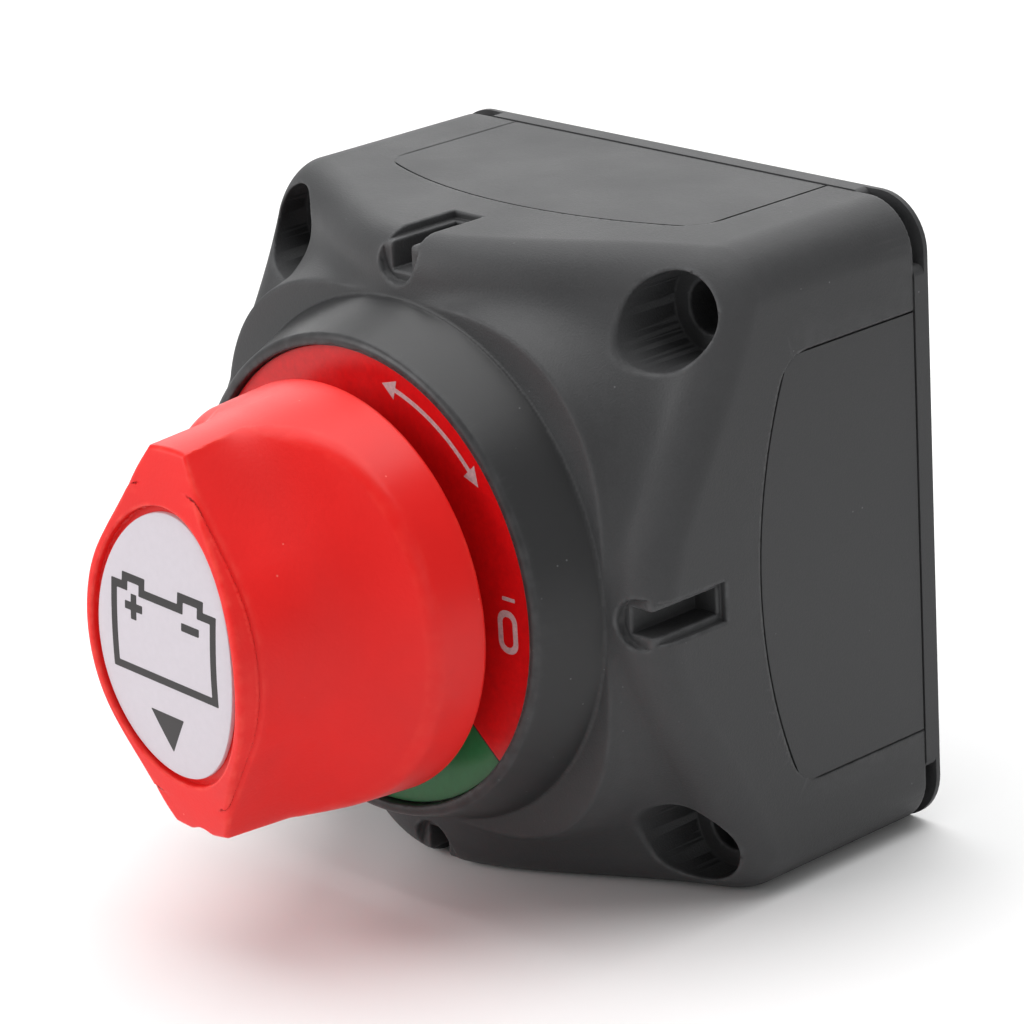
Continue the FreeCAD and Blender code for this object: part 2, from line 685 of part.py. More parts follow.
def base_screws():
    shank_r, head_r, height = BASE_SCREW
    half, reach, depth = BASE_CROSS
    top = BASE_REAR + height
    screws = []
    for x, z in diagonal_positions(SCREW_CIRCLE_R):
        head = cyl(head_r, BASE_REAR, top, x, z)
        head = head.cut(box(x - half, x + half, top - depth, top + REACH, z - reach, z + reach))
        head = head.cut(box(x - reach, x + reach, top - depth, top + REACH, z - half, z + half))
        screws.append(head.fuse(cyl(shank_r, BASE_SCREW_END, BASE_REAR, x, z)))
    return Part.makeCompound(screws)


def terminal_washers(y0, y1):
    bore = STUD_R + PILOT_PLAY
    return Part.makeCompound([ring(WASHER[0], bore, y0, y1, x) for x in (-STUD_X, STUD_X)])


def spring_washers(y0, y1):
    half, low, high = LOCK_SPLIT
    washers = []
    for x in (-STUD_X, STUD_X):
        split = box(x - half, x + half, y0 - REACH, y1 + REACH, low, high)
        washers.append(ring(LOCK_WASHER[0], STUD_R + PILOT_PLAY, y0, y1, x).cut(split))
    return Part.makeCompound(washers)


def terminal_nuts(y0, y1):
    nuts = []
    reach = NUT_ACROSS / math.sqrt(3)
    for x in (-STUD_X, STUD_X):
        corners = []
        for k in range(7):
            a = math.radians(60 * k)
            corners.append(V(x + reach * math.cos(a), y0, reach * math.sin(a)))
        nut = Part.Face(Part.makePolygon(corners)).extrude(V(0, y1 - y0, 0))
        nuts.append(nut.cut(cyl(STUD_SHANK_R + NUT_PLAY, y0 - REACH, y1 + REACH, x)))
    return Part.makeCompound(nuts)


def nodes():
    panel = side_panel()
    washer_top = BASE_REAR + WASHER[1]
    lock_top = washer_top + LOCK_WASHER[1]
    yield "housing", housing()
    yield "rear_cover", rear_cover()
    for side, angle in (("right", 0), ("top", 90), ("left", 180), ("bottom", 270)):
        yield "side_panel_" + side, turned(panel, angle)
    yield "dial_label", dial_label()
    yield "knob", knob()
    yield "knob_label", knob_label()
    yield "knob_screw", knob_screw()
    yield "rotor", rotor()
    yield "shaft_seal", shaft_seal()
    yield "detent_spring", detent_spring()
    yield "contact_carrier", contact_carrier()
    yield "bridge_bar", bridge_bar()
    yield "bridge_contacts", contact_pads(BRIDGE[1])
    yield "contact_springs", contact_springs()
    yield "stud_contacts", contact_pads(BRIDGE[1] + PAD)
    yield "return_springs", return_springs()
    yield "terminal_stud_left", terminal_stud(-STUD_X)
    yield "terminal_stud_right", terminal_stud(STUD_X)
    yield "contact_base", contact_base()
    yield "terminal_barrier", terminal_barrier()
    yield "base_gasket", base_gasket()
    yield "base_screws", base_screws()
    yield "terminal_washers", terminal_washers(BASE_REAR, washer_top)
    yield "terminal_spring_washers", spring_washers(washer_top, lock_top)
    yield "terminal_nuts", terminal_nuts(lock_top, lock_top + NUT_HEIGHT)


os.makedirs("parts", exist_ok=True)
for name, shape in nodes():
    shape.exportStep("parts/" + name + ".step")
    print(name, "valid" if shape.isValid() else "INVALID", len(shape.Solids), round(shape.Volume, 1))
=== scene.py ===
"""Looks of the battery switch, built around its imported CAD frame.

The case and the knob are worked out as distance fields in millimetres and meshed in this script; every
other piece keeps its CAD shape with rounded edges or is drawn here. Blender works in metres.
"""
import json
import math

import bmesh
import bpy
import numpy as np
from mathutils import Matrix, Vector


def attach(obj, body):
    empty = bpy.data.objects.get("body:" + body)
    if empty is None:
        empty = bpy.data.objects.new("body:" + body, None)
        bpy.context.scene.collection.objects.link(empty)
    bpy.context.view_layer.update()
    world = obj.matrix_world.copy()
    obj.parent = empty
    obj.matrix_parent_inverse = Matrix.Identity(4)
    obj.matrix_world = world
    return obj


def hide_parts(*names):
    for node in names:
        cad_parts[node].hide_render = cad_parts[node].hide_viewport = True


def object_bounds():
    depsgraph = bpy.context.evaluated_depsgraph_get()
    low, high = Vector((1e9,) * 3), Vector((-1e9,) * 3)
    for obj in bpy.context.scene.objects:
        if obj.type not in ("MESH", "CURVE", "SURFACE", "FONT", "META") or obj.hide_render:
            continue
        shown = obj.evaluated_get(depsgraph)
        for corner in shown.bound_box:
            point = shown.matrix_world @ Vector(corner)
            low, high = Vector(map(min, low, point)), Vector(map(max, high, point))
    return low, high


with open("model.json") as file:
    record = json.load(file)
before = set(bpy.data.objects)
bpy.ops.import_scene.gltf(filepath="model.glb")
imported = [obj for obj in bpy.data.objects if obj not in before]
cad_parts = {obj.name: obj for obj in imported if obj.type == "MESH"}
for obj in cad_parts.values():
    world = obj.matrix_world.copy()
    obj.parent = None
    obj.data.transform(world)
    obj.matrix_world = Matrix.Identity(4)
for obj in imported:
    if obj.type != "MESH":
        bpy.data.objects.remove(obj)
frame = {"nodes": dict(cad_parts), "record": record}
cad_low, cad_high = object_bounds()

MM = 0.001

# ---- driving sizes, in millimetres, as in the part's source, except where the comment says so ----
CASE_HALF = 34.42
CASE_CORNER = 5.72
CASE_REAR = -2.1
SHOULDER_Y = -41.9
COLLAR_FOOT_R = 28.0
COLLAR_RIM_R = 25.5
COLLAR_TOP = -49.0
DIAL_SEAT = -47.8
DIAL_R = 24.4
CORNER_Y = -31.1
CORNER_SLOPE = 0.4                  # a little flatter than the CAD's pads
CREST = 4.4
CREST_ROUND = 0.8
SWEEP_LENGTH = 1.5                  # steeper than the CAD's sweep, for round counterbore mouths
EDGE_RADIUS = 4.0
HOLE_OFFSET = 27.8
HOLE_R = 2.77
COUNTERBORE_R = 4.76
COUNTERBORE_FLOOR = -25.1
COLUMN_R = 7.0
KEY_HOLE = (2.65, 32.1, -40.7)      # radius, distance from the axis, floor
KEY_RECESS = (2.1, 33.5, -31.2)     # half width, floor, rear end
KEY_SLOT = (1.4, 30.5, -31.65)      # half width, floor, rear end
PANEL_HALF = 22.85
PANEL_SIDE_FRONT = -21.0
PANEL_MID_FRONT = -26.0
PANEL_CORNER = 2.5
PANEL_GAP = 0.15
PANEL_INNER = 32.2
PANEL_FLANGE = (31.2, 1.2)          # inner face, width
WALL_INNER = -45.3
CHAMBER_R = 24.0
BASE_FRONT = -23.8
BASE_REAR = -19.8
BAY_HALF = 30.5
BAY_CORNER = 3.0
SHAFT_BORE_R = 8.0
GUIDE = (3.2, 5.2, 18.5, -27.8)     # near, far, inner end, rear end
GASKET_GROOVE = (25.4, 0.8)         # radius, depth
PEG = (22.8, 29.0, 1.55, -8.5)      # place in x and z, radius, end
SCREW_OFFSET = 27.0 / math.sqrt(2)
SCREW_BORE = (1.5, -36.0)           # radius, end

KNOB_REAR = -52.0
KNOB_REAR_R = 21.8
KNOB_SHOULDER = -58.5
KNOB_TAPER = 0.075
KNOB_RIDGE = -73.6
KNOB_FACE = -75.6
GRIP_HALF_WIDTH = (2.8, 3.9)        # upper end and pointer end
GRIP_BELLY = (12.6, 15.2)           # half axes of the oval belly
KNOB_REST_ANGLE = -1.0
DOME_R = 70.0
SCOOP_POWER = 3
SCOOP_RISE = 9.0
POINTER_NOTCH = (2.4, 0.45, -69.0)  # radius, depth, rear end
LABEL_ANGLE = 3.0
LABEL_PLAY = 0.6
LABEL_AXES = (10.15, 13.97)
LABEL_FACE = -75.2
LABEL_THICK = 0.5
BOSS_WIDTH = 1.5
HUB = (9.5, -48.8)
HOLLOW = (18.6, -57.5)
GRIP_HOLLOW = (13.6, -62.0)
SOCKET = (4.05, -66.3)
SCREW_HEAD_HOLE = (4.2, -70.2)
SCREW_HOLE_R = 2.2

# ---- roundings, in millimetres ----
COLLAR_ROUND = 0.55
FOOT_FILLET = 0.3
SEAT_ROUND = 0.25
MOUTH_ROUND = 0.35
KEY_ROUND = 0.22
KEY_FILLET = 0.15
PANEL_ROUND = 0.12
SMALL_ROUND = 0.2
FLANK_ROUND = (0.9, 2.5)            # full radius, and the scoop's depth from which it holds
CROWN_ROUND = 0.7
DOME_ROUND = 0.4
SKIRT_ROUND = 0.5
KNOB_CUT_ROUND = 0.3
CROWN_FLARE = 20.0                  # slope of the crown's surface behind the ridge, clear of the knob
NEAR = 0.05                         # overlap of neighbouring hollows
STEP_ALONG = 0.05                   # steps for the slopes of the case's front
STEP_TURN = 0.002
STEP_RISE = 0.02                    # and for the knob's radii


# ---- distance fields: negative inside, in millimetres ----
def join(a, b, r):
    """Union with a fillet of radius r."""
    u = np.maximum(r - a, 0)
    v = np.maximum(r - b, 0)
    return np.maximum(r, np.minimum(a, b)) - np.sqrt(u * u + v * v)


def meet(a, b, r):
    """Intersection with its edge rounded to radius r."""
    return -join(-a, -b, r)


def cut(a, b, r):
    """a without b, with the edge rounded to radius r."""
    return -join(-a, b, r)


def slab(v, low, high):
    return np.maximum(low - v, v - high)


def rounded_square(x, z, half, corner):
    u = np.abs(x) - half + corner
    v = np.abs(z) - half + corner
    return np.hypot(np.maximum(u, 0), np.maximum(v, 0)) + np.minimum(np.maximum(u, v), 0) - corner


def front_height(r, angle):
    """Y of the sculpted front: a level ledge round the collar, then a sweep down to the four corner pads."""
    share = (1 - np.cos(4 * angle)) / 2

    def pad(radius):
        low = CORNER_Y + CORNER_SLOPE * (radius - HOLE_OFFSET * math.sqrt(2))
        return SHOULDER_Y * (1 - share) + low * share

    edge = COLLAR_FOOT_R + CREST * share
    r = np.maximum(r, COLLAR_FOOT_R - 1)
    sweep = pad(r) - (pad(edge) - SHOULDER_Y) * np.exp(-(r - edge) / SWEEP_LENGTH)
    return (SHOULDER_Y + sweep + np.hypot(SHOULDER_Y - sweep, CREST_ROUND * share)) / 2


def case_shell(x, y, z):
    r = np.hypot(x, z)
    angle = np.arctan2(z, x)
    height = front_height(r, angle)
    along = (front_height(r + STEP_ALONG, angle) - height) / STEP_ALONG
    across = (front_height(r, angle + STEP_TURN) - height) / (STEP_TURN * np.maximum(r, 1))
    front = (height - y) / np.sqrt(1 + along * along + across * across)
    shell = meet(rounded_square(x, z, CASE_HALF, CASE_CORNER), front, EDGE_RADIUS)
    lean = (COLLAR_FOOT_R - COLLAR_RIM_R) / (SHOULDER_Y - COLLAR_TOP)
    cone = (r - COLLAR_FOOT_R - lean * (y - SHOULDER_Y)) / math.hypot(1, lean)
    collar = meet(cone, slab(y, COLLAR_TOP, SHOULDER_Y + 3), COLLAR_ROUND)
    shell = join(shell, collar, FOOT_FILLET)
    shell = cut(shell, np.maximum(r - DIAL_R, y - DIAL_SEAT), SEAT_ROUND)
    return meet(shell, y - CASE_REAR, SMALL_ROUND)


def panel_outline(w, y, grow):
    """Field of the side panel's outline: straight sides, arched front end, rounded corners."""
    half = PANEL_HALF + grow
    sag = PANEL_SIDE_FRONT - PANEL_MID_FRONT
    radius = (half * half + sag * sag) / (2 * sag)
    arch = np.hypot(w, y - (PANEL_MID_FRONT - grow + radius)) - radius
    return meet(np.abs(w) - half, arch, PANEL_CORNER + grow)


def case_field(x, y, z):
    r = np.hypot(x, z)
    outward = np.maximum(np.abs(x), np.abs(z))
    sideways = np.minimum(np.abs(x), np.abs(z))
    hole = np.hypot(np.abs(x) - HOLE_OFFSET, np.abs(z) - HOLE_OFFSET)
    body = case_shell(x, y, z)
    body = cut(body, np.maximum(hole - COUNTERBORE_R, y - COUNTERBORE_FLOOR), MOUTH_ROUND)
    body = cut(body, hole - HOLE_R, SMALL_ROUND)
    radius, offset, floor = KEY_HOLE
    key = np.maximum(np.hypot(outward - offset, sideways) - radius, y - floor)
    half, floor, rear = KEY_RECESS
    key = join(key, np.maximum(np.maximum(floor - outward, sideways - half), y - rear), KEY_FILLET)
    body = cut(body, key, KEY_ROUND)
    half, floor, rear = KEY_SLOT
    body = cut(body, np.maximum(np.maximum(floor - outward, sideways - half), y - rear), SMALL_ROUND)
    inner, width = PANEL_FLANGE
    window = np.maximum(panel_outline(sideways, y, PANEL_GAP), PANEL_INNER - outward)
    rebate = panel_outline(sideways, y, PANEL_GAP + width)
    rebate = np.maximum(rebate, slab(outward, inner - NEAR, PANEL_INNER + NEAR))
    window = np.minimum(window, np.maximum(rebate, y - CASE_REAR + 0.3))
    way = np.maximum(slab(outward, BAY_HALF - 1, PANEL_INNER + 0.1), sideways - PANEL_HALF + 3)
    window = np.minimum(window, np.maximum(way, BASE_REAR - 1 - y))
    body = cut(body, window, PANEL_ROUND)
    bay = np.maximum(rounded_square(x, z, BAY_HALF, BAY_CORNER), BASE_FRONT - y)
    body = cut(body, np.maximum(bay, COLUMN_R - hole), SMALL_ROUND)
    near, far, end, rear = GUIDE
    guide = np.maximum(slab(np.abs(x), near, far), np.maximum(end - np.abs(z), y - rear))
    chamber = np.maximum(np.maximum(r - CHAMBER_R, slab(y, WALL_INNER, BASE_FRONT + 1)), -guide)
    groove = np.maximum(r - GASKET_GROOVE[0], slab(y, BASE_FRONT - GASKET_GROOVE[1], BASE_FRONT + 1))
    chamber = np.minimum(chamber, groove)
    chamber = np.minimum(chamber, np.maximum(r - SHAFT_BORE_R, slab(y, COLLAR_TOP, WALL_INNER + 1)))
    peg = np.hypot(np.abs(x) - PEG[0], np.abs(z) - PEG[1]) - PEG[2]
    chamber = np.minimum(chamber, np.maximum(peg, PEG[3] - y))
    screw = np.hypot(np.abs(x) - SCREW_OFFSET, np.abs(z) - SCREW_OFFSET) - SCREW_BORE[0]
    chamber = np.minimum(chamber, np.maximum(screw, slab(y, SCREW_BORE[1], BASE_FRONT + 1)))
    return np.maximum(body, -chamber)


def turned_back(x, z, degrees):
    """Coordinates in the knob's own frame, where its grip stands along Z."""
    c = math.cos(math.radians(degrees))
    s = math.sin(math.radians(degrees))
    return x * c - z * s, x * s + z * c


def cone_radius(y):
    return KNOB_REAR_R + KNOB_TAPER * (y - KNOB_REAR)


def oval(x, z, grow):
    a = LABEL_AXES[0] + grow
    b = LABEL_AXES[1] + grow
    level = np.sqrt((x / a) ** 2 + (z / b) ** 2) + 1e-9
    slope = np.sqrt((x / a**2) ** 2 + (z / b**2) ** 2) / level + 1e-9
    return (level - 1) / slope


def grip_outline(angle):
    """Front outline of the grip: an oval belly and straight flanks that run to a point beyond its ends."""
    a, b = GRIP_BELLY
    c = np.abs(np.cos(angle))
    s = np.abs(np.sin(angle))
    end = cone_radius(KNOB_RIDGE)
    tip_x = np.where(np.sin(angle) > 0, *GRIP_HALF_WIDTH)
    tip_z = np.sqrt(end * end - tip_x * tip_x)
    u = tip_x / a
    w = tip_z / b
    touch = np.arctan2(w, u) - np.arccos(1 / np.hypot(u, w))
    tx = a * np.cos(touch)
    tz = b * np.sin(touch)
    belly = 1 / np.hypot(c / a, s / b)
    dx = tip_x - tx
    dz = tip_z - tz
    flank = (tx * dz - tz * dx) / np.maximum(c * dz - s * dx, 1e-6)
    return np.where(belly * s < tz, belly, np.minimum(flank, 2 * KNOB_REAR_R))


def scoop_radius(y, angle):
    full = cone_radius(y)
    grip = grip_outline(angle)
    shoulder = KNOB_SHOULDER - SCOOP_RISE * (1 - np.abs(np.cos(angle))) ** SCOOP_POWER
    t = (shoulder - y) / (shoulder - KNOB_RIDGE)
    left = np.where(t < 1, (1 - t) ** SCOOP_POWER, 0.0)
    return grip + np.maximum(full - grip, 0) * left


def crown_radius(y, angle):
    ridge = np.minimum(grip_outline(angle), cone_radius(KNOB_RIDGE))
    c = np.cos(angle) / (LABEL_AXES[0] + BOSS_WIDTH)
    s = np.sin(angle) / (LABEL_AXES[1] + BOSS_WIDTH)
    boss = 1 / np.hypot(c, s)
    share = (KNOB_RIDGE - y) / (KNOB_RIDGE - KNOB_FACE)
    return ridge + np.where(share > 0, (boss - ridge) * share, -CROWN_FLARE * share)


def radial_field(x, y, z, radius_at):
    """Field of a surface given as a radius by height and direction."""
    r = np.hypot(x, z)
    angle = np.arctan2(z, x)
    radius = radius_at(y, angle)
    along = (radius_at(y + STEP_RISE, angle) - radius) / STEP_RISE
    across = (radius_at(y, angle + STEP_TURN) - radius) / (STEP_TURN * np.maximum(r, 2))
    return (r - radius) / np.sqrt(1 + along * along + np.minimum(across * across, 9))


def knob_skirt(x, y, z):
    return (np.hypot(x, z) - cone_radius(y)) / math.hypot(1, KNOB_TAPER)


def knob_field(x, y, z):
    x, z = turned_back(x, z, KNOB_REST_ANGLE)
    r = np.hypot(x, z)
    skirt = knob_skirt(x, y, z)
    scoop = radial_field(x, y, z, scoop_radius)
    depth = cone_radius(KNOB_RIDGE) - grip_outline(np.arctan2(z, x))
    body = meet(skirt, scoop, FLANK_ROUND[0] * np.clip(depth / FLANK_ROUND[1], 0, 1))
    body = meet(body, radial_field(x, y, z, crown_radius), CROWN_ROUND)
    dome = np.hypot(y - KNOB_FACE - DOME_R, z) - DOME_R
    body = meet(body, dome, DOME_ROUND)
    body = meet(body, y - KNOB_REAR, SKIRT_ROUND)
    recess = np.maximum(oval(x, z, LABEL_PLAY), KNOB_FACE - LABEL_FACE - LABEL_THICK - dome)
    body = cut(body, recess, KNOB_CUT_ROUND)
    radius, depth, rear = POINTER_NOTCH
    notch = np.hypot(x, z + cone_radius(KNOB_RIDGE) + radius - depth) - radius
    body = cut(body, np.maximum(notch, y - rear), KNOB_CUT_ROUND)
    hollow = np.maximum(r - HOLLOW[0], HOLLOW[1] - y)
    hollow = np.minimum(hollow, np.maximum(r - GRIP_HOLLOW[0], GRIP_HOLLOW[1] - y))
    body = cut(body, hollow, KNOB_CUT_ROUND)
    hub = np.maximum(r - HUB[0], slab(y, HOLLOW[1] - 6, HUB[1]))
    body = np.minimum(body, hub)
    socket = np.maximum(np.maximum(np.abs(x), np.abs(z)) - SOCKET[0], SOCKET[1] - y)
    head = np.maximum(r - SCREW_HEAD_HOLE[0], y - SCREW_HEAD_HOLE[1])
    bore = r - SCREW_HOLE_R
    return np.maximum(body, -np.minimum(np.minimum(socket, head), bore))


# ---- meshing a field ----
PULL = 0.03             # holds each point near the middle of its cell's crossings
BAND = 2.6              # cells within this many cell sizes of the surface are kept
HALVINGS = 4            # times that the first grid's cells are halved
CASE_MESH = (0.3, 190000)           # cell size in millimetres, triangles kept
KNOB_MESH = (0.2, 180000)
OFFSETS = np.array([(i, j, k) for i in (0, 1) for j in (0, 1) for k in (0, 1)])
CORNER_PAIRS = [(a, b) for a in range(8) for b in range(a + 1, 8)]
CELL_EDGES = np.array([(a, b) for a, b in CORNER_PAIRS if bin(a ^ b).count("1") == 1])


def gradient(field, p, h=0.01):
    """Central differences of the field at the points p."""
    g = np.empty_like(p)
    for axis in range(3):
        step = np.zeros(3)
        step[axis] = h
        g[:, axis] = field(*(p + step).T) - field(*(p - step).T)
    return g / (2 * h)


def settle(field, p, rounds):
    """Moves the points onto the surface, and returns them with their normals."""
    for _ in range(rounds):
        g = gradient(field, p)
        size = np.maximum((g * g).sum(1), 0.25)
        p = p - np.clip(field(*p.T) / size, -0.1, 0.1)[:, None] * g
    g = gradient(field, p, 0.03)
    return p, g / np.maximum(np.linalg.norm(g, axis=1), 1e-9)[:, None]


def crossing_points(field, low, size, cells, values, key):
    """One point for each crossed cell, where the tangent planes at its crossed edges meet."""
    first, second = CELL_EDGES.T
    a, b = values[:, first], values[:, second]
    hit = (a < 0) != (b < 0)
    row, edge = np.nonzero(hit)
    start, end = cells[row] + OFFSETS[first[edge]], cells[row] + OFFSETS[second[edge]]
    share = a[row, edge] / (a[row, edge] - b[row, edge])
    at = low + (start + share[:, None] * (end - start)) * size
    own = key(start) * 3 + (end - start).argmax(1)
    _, once, again = np.unique(own, return_index=True, return_inverse=True)
    normal = gradient(field, at[once])[again]
    normal /= np.maximum(np.linalg.norm(normal, axis=1), 1e-9)[:, None]
    bounds = np.searchsorted(row, np.arange(len(cells)))
    mean = np.add.reduceat(at, bounds) / hit.sum(1)[:, None]
    spread = np.add.reduceat(normal[:, :, None] * normal[:, None, :], bounds) + PULL * np.eye(3)
    side = np.add.reduceat(normal * ((at - mean[row]) * normal).sum(1)[:, None], bounds)
    point = mean + np.linalg.solve(spread, side[:, :, None])[:, :, 0]
    return np.clip(point, low + cells * size, low + (cells + 1) * size)


def surface_of(field, low, high, step):
    """Points and quads on the field's surface.

    A band of cells is halved down to step, and each crossed cell gets a point.
    """
    size = step * 2**HALVINGS
    low = np.array(low, float)
    counts = np.ceil((np.array(high) - low) / size).astype(int)
    cells = np.stack(np.meshgrid(*[np.arange(n) for n in counts], indexing="ij"), -1).reshape(-1, 3)
    for level in range(HALVINGS + 1):
        centre = low + (cells + 0.5) * size
        cells = cells[np.abs(field(*centre.T)) < size * BAND]
        if level < HALVINGS:
            cells = (cells[:, None] * 2 + OFFSETS).reshape(-1, 3)
            size /= 2
    span = counts * 2**HALVINGS + 2

    def key(c):
        return (c[..., 0] * span[1] + c[..., 1]) * span[2] + c[..., 2]

    keys, where = np.unique(key(cells[:, None] + OFFSETS).ravel(), return_inverse=True)
    corners = np.stack([keys // (span[1] * span[2]), keys // span[2] % span[1], keys % span[2]], -1)
    values = field(*(low + corners * size).T)[where].reshape(-1, 8)
    inside = values < 0
    crossed = inside.any(1) & ~inside.all(1)
    cells, values, inside = cells[crossed], values[crossed], inside[crossed]
    points = crossing_points(field, low, size, cells, values, key)
    own = key(cells)
    order = np.argsort(own)
    quads = []
    for axis in range(3):
        far = np.zeros(3, int)
        far[axis] = 1
        corner = int((OFFSETS == far).all(1).argmax())
        edge = inside[:, 0] != inside[:, corner]
        one, two = np.roll(far, 1), np.roll(far, 2)
        ring = [cells[edge] - shift for shift in (0 * one, one, one + two, two)]
        at = [np.minimum(np.searchsorted(own[order], key(c)), len(own) - 1) for c in ring]
        found = np.stack([order[i] for i in at], 1)
        whole = np.all([own[found[:, i]] == key(ring[i]) for i in range(4)], 0)
        flip = inside[edge, 0]
        found[~flip] = found[~flip][:, ::-1]
        quads.append(found[whole])
    return points, np.concatenate(quads)


def mesh_from(name, points, faces):
    mesh = bpy.data.meshes.new(name)
    mesh.from_pydata((points * MM).tolist(), [], faces.tolist())
    mesh.update()
    obj = bpy.data.objects.new(name, mesh)
    bpy.context.scene.collection.objects.link(obj)
    return obj


def as_points(mesh):
    flat = np.empty(len(mesh.vertices) * 3, np.float32)
    mesh.vertices.foreach_get("co", flat)
    return flat.reshape(-1, 3).astype(float)


def field_piece(name, field, low, high, step, faces):
    """An object with the field's surface and normals, thinned to about that many triangles."""
    points, quads = surface_of(field, low, high, step)
    points, _ = settle(field, points, 2)
    obj = mesh_from(name, points, quads)
    if 2 * len(quads) > faces:
        thin = obj.modifiers.new("thin", "DECIMATE")
        thin.ratio = faces / (2 * len(quads))
        kept = bpy.data.meshes.new_from_object(obj.evaluated_get(bpy.context.evaluated_depsgraph_get()))
        obj.modifiers.clear()
        obj.data = kept
    points, normals = settle(field, as_points(obj.data) / MM, 1)
    obj.data.vertices.foreach_set("co", (points * MM).astype(np.float32).ravel())
    obj.data.shade_smooth()
    obj.data.normals_split_custom_set_from_vertices(normals.tolist())
    return obj


def mark(obj, name, values):
    attribute = obj.data.attributes.new(name, "FLOAT", "POINT")
    attribute.data.foreach_set("value", np.asarray(values, np.float32))


# ---- materials ----
def new_material(name, **inputs):
    material = bpy.data.materials.new(name)
    material.use_nodes = True
    shader = material.node_tree.nodes["Principled BSDF"]
    for socket, value in inputs.items():
        shader.inputs[socket.replace("_", " ")].default_value = value
    return material


class Nodes:
    """Short calls for building a material's nodes; every texture runs on the object's own coordinates."""

    def __init__(self, material):
        self.tree = material.node_tree
        self.shader = self.tree.nodes["Principled BSDF"]
        self.place = self.add("ShaderNodeTexCoord").outputs["Object"]

    def add(self, kind, **settings):
        node = self.tree.nodes.new(kind)
        for name, value in settings.items():
            setattr(node, name, value)
        return node

    def link(self, source, target):
        self.tree.links.new(source, target)

    def noise(self, per_mm, detail=2.0, roughness=0.5, stretch=None):
        node = self.add("ShaderNodeTexNoise")
        node.inputs["Scale"].default_value = per_mm / MM
        node.inputs["Detail"].default_value = detail
        node.inputs["Roughness"].default_value = roughness
        self.link(self.stretched(stretch) if stretch else self.place, node.inputs["Vector"])
        return node.outputs["Fac"]

    def stretched(self, scale):
        node = self.add("ShaderNodeMapping")
        node.inputs["Scale"].default_value = scale
        self.link(self.place, node.inputs["Vector"])
        return node.outputs["Vector"]

    def specks(self, per_mm, size):
        """1 in small scattered spots, 0 elsewhere."""
        node = self.add("ShaderNodeTexVoronoi")
        node.inputs["Scale"].default_value = per_mm / MM
        self.link(self.place, node.inputs["Vector"])
        return self.ramp(node.outputs["Distance"], (size, size * 0.6), (0, 1))

    def ramp(self, value, span, out):
        """The value mapped from one span onto another, and held at its ends."""
        node = self.add("ShaderNodeMapRange")
        node.inputs["From Min"].default_value, node.inputs["From Max"].default_value = span
        node.inputs["To Min"].default_value, node.inputs["To Max"].default_value = out
        self.link(value, node.inputs["Value"])
        return node.outputs["Result"]

    def math(self, operation, a, b):
        node = self.add("ShaderNodeMath", operation=operation)
        for socket, value in zip(node.inputs, (a, b)):
            if isinstance(value, (int, float)):
                socket.default_value = value
            else:
                self.link(value, socket)
        return node.outputs[0]

    def attribute(self, name):
        return self.add("ShaderNodeAttribute", attribute_name=name).outputs["Fac"]

    def mix(self, factor, a, b):
        """Colour a where factor is 0 and b where it is 1."""
        node = self.add("ShaderNodeMix", data_type="RGBA")
        self.link(factor, node.inputs["Factor"])
        for socket, value in ((node.inputs["A"], a), (node.inputs["B"], b)):
            if isinstance(value, tuple):
                socket.default_value = (*value, 1)
            else:
                self.link(value, socket)
        return node.outputs["Result"]

    def colour(self, value):
        self.link(value, self.shader.inputs["Base Color"])

    def roughness(self, value):
        self.link(value, self.shader.inputs["Roughness"])

    def bump(self, height, depth_mm, strength=1.0, under=None):
        node = self.add("ShaderNodeBump")
        node.inputs["Strength"].default_value = strength
        node.inputs["Distance"].default_value = depth_mm * MM
        self.link(height, node.inputs["Height"])
        if under is not None:
            self.link(under, node.inputs["Normal"])
        self.link(node.outputs["Normal"], self.shader.inputs["Normal"])
        return node.outputs["Normal"]


def scaled(colour, factor):
    return tuple(min(1.0, c * factor) for c in colour)


def grained_plastic(name, colour, rough, grain_mm, depth_mm, marked=False, dust=0.5):
    """Moulded plastic with a spark-eroded grain, faint cloudiness, scuffed edges and a little dust; where
    marked, the polished collar gets lower roughness, less grain and a colour painted darker as painted
    shade.
    """
    material = new_material(name, IOR=1.5, Specular_IOR_Level=0.3)
    n = Nodes(material)
    grain = n.noise(1 / grain_mm, 3, 0.6)
    cloud = n.noise(0.09, 3)
    tone = n.mix(n.ramp(cloud, (0.3, 0.7), (0, 1)), scaled(colour, 0.92), scaled(colour, 1.08))
    tone = n.mix(n.ramp(grain, (0.35, 0.7), (0, 0.25)), tone, scaled(colour, 1.5))
    polish_and_painted_shade = n.attribute("polish_and_painted_shade") if marked else None
    if marked:
        worn = n.math("MULTIPLY", n.attribute("edge"), n.ramp(n.noise(0.7, 4), (0.35, 0.7), (0.1, 0.75)))
        # painted shade: the polished collar's colour is darkened, standing in for the dark surroundings that
        # its gloss reflects
        tone = n.mix(polish_and_painted_shade, tone, scaled(colour, 0.62))
        tone = n.mix(worn, tone, scaled(colour, 2.2))
    dusty = n.math("MULTIPLY", n.specks(0.5, 0.06), n.ramp(n.noise(0.15), (0.5, 0.62), (0, dust)))
    tone = n.mix(dusty, tone, scaled(colour, 5))
    n.colour(tone)
    gloss = n.math("ADD", cloud, n.math("MULTIPLY", grain, 0.5))
    gloss = n.ramp(gloss, (0.5, 1.0), (rough - 0.05, rough + 0.07))
    height = grain
    if marked:
        gloss = n.math("SUBTRACT", gloss, n.math("MULTIPLY", polish_and_painted_shade, 0.16))
        height = n.math("MULTIPLY", grain, n.ramp(polish_and_painted_shade, (0, 1), (1, 0.15)))
    n.roughness(gloss)
    under = n.bump(n.noise(0.12, 2), 0.05)
    n.bump(height, depth_mm, under=under)
    return material


